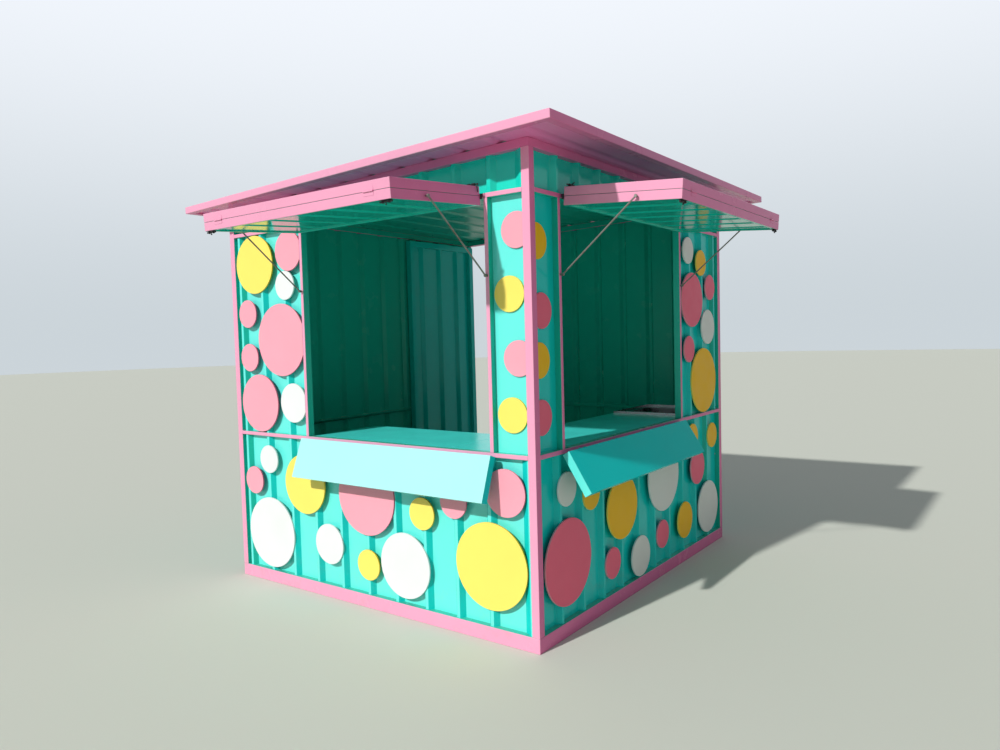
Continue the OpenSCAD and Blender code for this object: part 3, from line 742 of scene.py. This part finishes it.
# The bolts' knobs, as (depth, radius) in millimetres, from a foot that is KNOB_SINK up in the bolt
KNOB_PROFILE = [(0.0, 1.6), (3.0, 1.6), (3.6, 2.6), (4.6, 3.4), (6.2, 3.6), (7.8, 3.0), (8.6, 1.6)]
KNOB_SINK = 2.5 * MM
KNOB_SIDES = 14


def loose_parts(bm):
    """The corners of each loose part of a mesh."""
    parts = []
    waiting = set(bm.verts)
    while waiting:
        seed = waiting.pop()
        part = {seed}
        rim = [seed]
        while rim:
            vert = rim.pop()
            for other in (edge.other_vert(vert) for edge in vert.link_edges):
                if other in waiting:
                    waiting.discard(other)
                    part.add(other)
                    rim.append(other)
        parts.append(part)
    return parts


def split_boxes(node):
    """The box of each loose part of a node."""
    bm = clean_copy(node)
    boxes = []
    for part in loose_parts(bm):
        low = Vector([min(v.co[i] for v in part) for i in range(3)])
        high = Vector([max(v.co[i] for v in part) for i in range(3)])
        boxes.append((low, high))
    bm.free()
    return sorted(boxes, key=lambda box: tuple(round(c, 4) for c in box[0]))


def add_bolt_knobs():
    """The small knobs that slide the awnings' barrel bolts."""
    bm = bmesh.new()
    for low, high in split_boxes("awning_bolts"):
        top = Vector(((low.x + high.x) / 2, (low.y + high.y) / 2, low.z + KNOB_SINK))
        rings = []
        for depth, radius in KNOB_PROFILE:
            rings.append(level_ring(bm, top - Vector((0, 0, depth * MM)), radius * MM, KNOB_SIDES))
        for a, b in zip(rings, rings[1:]):
            join_rings(bm, a, b)
        bm.faces.new(rings[0])
        bm.faces.new(list(reversed(rings[-1])))
    bmesh.ops.recalc_face_normals(bm, faces=bm.faces)
    piece_from(bm, "bolt_knobs", "body", ["black"], smooth_angle=50)


# The folded leaves' bolts: out from the leaf's end, in from the wall, and up from the leaf's upper side
PLATE_OUT = (-50 * MM, -6 * MM)
PLATE_IN = (12 * MM, 36 * MM)
PLATE_HEIGHTS = (-0.5 * MM, 1.5 * MM)
BARRELS_OUT = ((-47 * MM, -33 * MM), (-23 * MM, -9 * MM))
ROD_OUT = (-44 * MM, 8 * MM)
BOLT_IN = 24 * MM
BOLT_UP = 6.5 * MM
BARREL_RADIUS = 5.5 * MM
ROD_RADIUS = 3 * MM
HANDLE_RADIUS = 2.2 * MM

# Their handles, as (out, along, up) from the bolt in millimetres
HANDLE_DOWN = [(5, 0, 0), (6, 5, -10), (6, 2, -22), (4, -3, -32)]
HANDLE_UP = [(-28, 0, 1), (-28, 5, 5), (-27, 11, 8), (-26, 17, 8)]

# The stops at the leaves' seam, and how near to the wall its height is taken
STUD_OUT = 4 * MM
STUD_HEIGHTS = (-13 * MM, 9 * MM)
WALL_ROOM = 60 * MM


def slab(bm, place, low, high):
    """A plain block between two corners, given in place's own directions."""
    corners = [bm.verts.new(place(x, y, z)) for x in (low[0], high[0]) for y in (low[1], high[1])
               for z in (low[2], high[2])]
    bmesh.ops.convex_hull(bm, input=corners)


def rod_through(bm, place, points, radius):
    """A round rod bent through the given points."""
    centres = [Vector(place(*point)) for point in points]
    tube(bm, centres, [radius] * len(centres), sides=12)


def upper_bolt(bm, place, top, handle):
    """A barrel bolt on the folded leaf's upper side, with its handle."""
    axis = top + BOLT_UP
    plate = [(PLATE_OUT[i], PLATE_IN[i], top + PLATE_HEIGHTS[i]) for i in (0, 1)]
    slab(bm, place, *plate)
    for ends in BARRELS_OUT:
        rod_through(bm, place, [(out, BOLT_IN, axis) for out in ends], BARREL_RADIUS)
    rod_through(bm, place, [(out, BOLT_IN, axis) for out in ROD_OUT], ROD_RADIUS)
    bent = [(out * MM, BOLT_IN + along * MM, axis + up * MM) for out, along, up in handle]
    rod_through(bm, place, bent, HANDLE_RADIUS)


def wall_stud(bm, place, seam):
    """The stop on the lower leaf's end, next to the wall."""
    rod_through(bm, place, [(STUD_OUT, 0.0, seam + height) for height in STUD_HEIGHTS], BARREL_RADIUS)


def heights_near(node, keep):
    """The lowest and highest of the node's corners that keep accepts."""
    heights = [vert.co.z for vert in NODES[node].data.vertices if keep(vert.co)]
    return min(heights), max(heights)


def add_upper_bolts():
    """The barrel bolts of the folded leaves, on top of the awnings' ends at the walls."""
    bm = bmesh.new()
    front_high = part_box("front_awning_frames")[1]
    front = lambda out, along, z: (front_high[0] + out, front_high[1] - along, z)
    front_keep = lambda co: co.y > front_high[1] - WALL_ROOM
    side_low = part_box("side_awning_frames")[0]
    side = lambda out, along, z: (side_low[0] + along, side_low[1] - out, z)
    side_keep = lambda co: co.x < side_low[0] + WALL_ROOM
    for node, place, keep, handle in (("front_awning_frames", front, front_keep, HANDLE_DOWN),
                                      ("side_awning_frames", side, side_keep, HANDLE_UP)):
        bottom, top = heights_near(node, keep)
        upper_bolt(bm, place, top, handle)
        wall_stud(bm, place, (bottom + top) / 2)
    bmesh.ops.recalc_face_normals(bm, faces=bm.faces)
    body = body_of("front_awning_frames")
    piece_from(bm, "upper_leaf_bolts", body, ["black"], smooth_angle=50)


# The sink's strainer, as (radius, height over its rim) in millimetres, and its height in the bowl
STRAINER_PROFILE = [(3.0, 2.4), (9.0, 2.1), (12.5, 1.7), (18.0, 1.2), (22.0, 0.6), (25.0, 0.0)]
STRAINER_SIDES = 32
STRAINER_UP = 4.2 * MM
STRAINER_T = 1.0 * MM
HOLED_RINGS = (1, 3)


def add_strainer():
    """The sink's waste: a domed strainer with two rings of holes, set in the bowl's floor."""
    low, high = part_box("sink")
    centre = Vector(((low[0] + high[0]) / 2, (low[1] + high[1]) / 2, low[2] + STRAINER_UP))
    bm = bmesh.new()
    rings = []
    for radius, height in STRAINER_PROFILE:
        rings.append(level_ring(bm, centre + Vector((0, 0, height * MM)), radius * MM, STRAINER_SIDES))
    for n, (a, b) in enumerate(zip(rings, rings[1:])):
        join_rings(bm, a, b, keep=lambda k: n not in HOLED_RINGS or k % 4 > 1)
    bm.faces.new(rings[0])
    solid = bmesh.ops.extrude_face_region(bm, geom=bm.faces[:])
    moved = [v for v in solid["geom"] if isinstance(v, bmesh.types.BMVert)]
    bmesh.ops.translate(bm, verts=moved, vec=(0, 0, -STRAINER_T))
    bmesh.ops.recalc_face_normals(bm, faces=bm.faces)
    piece_from(bm, "sink_strainer", body_of("sink"), ["sink"], smooth_angle=40)


def make_stage():
    """A pale floor, a soft sun from in front and an even sky."""
    bpy.ops.mesh.primitive_circle_add(vertices=FLOOR_CORNERS, radius=FLOOR_RADIUS, fill_type="NGON")
    ground = bpy.context.object
    ground.name = "ground"
    ground_shader = Shader("ground")
    ground_shader.set("Base Color", FLOOR)
    ground_shader.set("Roughness", FLOOR_ROUGH)
    ground.data.materials.append(ground_shader.material)
    ground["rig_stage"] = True

    sun = bpy.data.lights.new("key", "SUN")
    sun.energy = SUN_STRENGTH
    sun.angle = math.radians(SUN_SOFTNESS)
    sun.color = SUN_COLOUR
    key = bpy.data.objects.new("key", sun)
    key.rotation_euler = Vector(SUN_FROM).to_track_quat("Z", "Y").to_euler()
    bpy.context.scene.collection.objects.link(key)
    make_sky()
    bpy.context.scene.view_settings.view_transform = "Standard"


def backdrop_shade(tree):
    """The backdrop's colour, from the horizon up."""
    coordinates = tree.nodes.new("ShaderNodeTexCoord")
    direction = tree.nodes.new("ShaderNodeSeparateXYZ")
    tree.links.new(coordinates.outputs["Generated"], direction.inputs["Vector"])
    rise = tree.nodes.new("ShaderNodeMapRange")
    rise.interpolation_type = "SMOOTHSTEP"
    rise.inputs["From Min"].default_value = 0.0
    rise.inputs["From Max"].default_value = BACKDROP_RISE
    tree.links.new(direction.outputs["Z"], rise.inputs["Value"])
    shade = tree.nodes.new("ShaderNodeMix")
    shade.data_type = "RGBA"
    shade.inputs[6].default_value = (*BACKDROP_LOW, 1)
    shade.inputs[7].default_value = (*BACKDROP_HIGH, 1)
    tree.links.new(rise.outputs["Result"], shade.inputs[0])
    return shade.outputs[2]


def make_sky():
    """Even fill light, and a pale backdrop for what the camera, mirrors and glass see."""
    world = bpy.data.worlds.new("sky")
    bpy.context.scene.world = world
    world.use_nodes = True
    tree = world.node_tree
    light = tree.nodes["Background"]
    light.inputs["Color"].default_value = (*SKY_COLOUR, 1)
    light.inputs["Strength"].default_value = SKY_STRENGTH
    backdrop = tree.nodes.new("ShaderNodeBackground")
    tree.links.new(backdrop_shade(tree), backdrop.inputs["Color"])
    path = tree.nodes.new("ShaderNodeLightPath")
    seen = path.outputs["Is Camera Ray"]
    for other in ("Is Glossy Ray", "Is Transmission Ray"):
        either = tree.nodes.new("ShaderNodeMath")
        either.operation = "MAXIMUM"
        tree.links.new(seen, either.inputs[0])
        tree.links.new(path.outputs[other], either.inputs[1])
        seen = either.outputs["Value"]
    blend = tree.nodes.new("ShaderNodeMixShader")
    tree.links.new(seen, blend.inputs[0])
    tree.links.new(light.outputs[0], blend.inputs[1])
    tree.links.new(backdrop.outputs[0], blend.inputs[2])
    tree.links.new(blend.outputs[0], tree.nodes["World Output"].inputs["Surface"])


make_camera()
make_stage()
dress_frame()
dress_roof_sheet()
dress_sheets()
dress_awnings()
dress_door()
dress_counters()
dress_dots()
add_welds()
add_bolt_knobs()
add_upper_bolts()
add_strainer()
plain = lambda box: [[float(v) for v in corner] for corner in box]
{"cad": plain(CAD_BOX), "visual": plain(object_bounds())}
